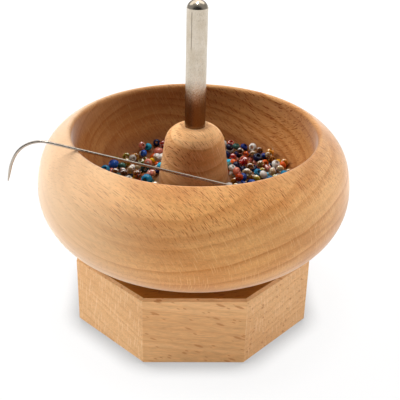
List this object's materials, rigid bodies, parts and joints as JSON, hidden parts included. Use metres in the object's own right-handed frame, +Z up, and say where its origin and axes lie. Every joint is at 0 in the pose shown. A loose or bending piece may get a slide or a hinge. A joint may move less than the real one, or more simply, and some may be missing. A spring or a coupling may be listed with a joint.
{
  "type": "bead spinner",
  "caption": "Turned wooden bowl with a central hub that spins on a steel spindle in an eight-sided wooden base, holding loose seed beads and a hooked needle.",
  "frame": {"origin": "centre of the underside of the base, on the spindle's axis", "axes": "+Z up along the spindle, -Y the front, +X to the right; the needle's hook hangs over the left rim, on the -X side"},
  "size_m": [0.0976, 0.092, 0.096],
  "materials": {
    "base_block": "smooth sanded beech, clear waxed",
    "bowl": "turned and sanded beech, clear waxed",
    "spindle_bush": "plain bronze, bored smooth",
    "thrust_ball": "polished hardened steel",
    "spindle": "bright nickel-plated steel, fine pitting",
    "needle": "bright drawn steel wire",
    "beads_navy": "opaque glass, glossy",
    "beads_royal_blue": "opaque glass, glossy",
    "beads_turquoise": "opaque glass, glossy",
    "beads_white": "opaque glass, pearl lustre",
    "beads_pink": "opaque glass, pearl lustre",
    "beads_coral": "opaque glass, glossy",
    "beads_amber": "clear glass, lined",
    "beads_yellow": "opaque glass, glossy",
    "beads_red": "opaque glass, glossy",
    "beads_orange": "opaque glass, glossy",
    "beads_green": "opaque glass, glossy",
    "beads_olive": "opaque glass, lustre",
    "beads_brown": "clear dark glass",
    "beads_crystal": "clear glass, silver lined"
  },
  "bodies": {
    "base": {"base_block": "base_block", "spindle_bush": "spindle_bush", "thrust_ball": "thrust_ball"},
    "spindle": {"spindle": "spindle"},
    "bowl": {"bowl": "bowl", "beads_navy": "beads_navy", "beads_royal_blue": "beads_royal_blue", "beads_turquoise": "beads_turquoise", "beads_white": "beads_white", "beads_pink": "beads_pink", "beads_coral": "beads_coral", "beads_amber": "beads_amber", "beads_yellow": "beads_yellow", "beads_red": "beads_red", "beads_orange": "beads_orange", "beads_green": "beads_green", "beads_olive": "beads_olive", "beads_brown": "beads_brown", "beads_crystal": "beads_crystal"},
    "needle": {"needle": "needle"}
  },
  "joints": [
    {"name": "spindle_turn", "type": "hinge", "parent": "base", "child": "spindle", "pos_m": [0, 0, 0.02], "axis": [0, 0, 1], "continuous": true},
    {"name": "bowl_lift", "type": "slide", "parent": "spindle", "child": "bowl", "axis": [0, 0, 1], "range_m": [0, 0.075]},
    {"name": "needle_lift", "type": "slide", "parent": "bowl", "child": "needle", "axis": [0, 0, 1], "range_m": [0, 0.06]}
  ]
}
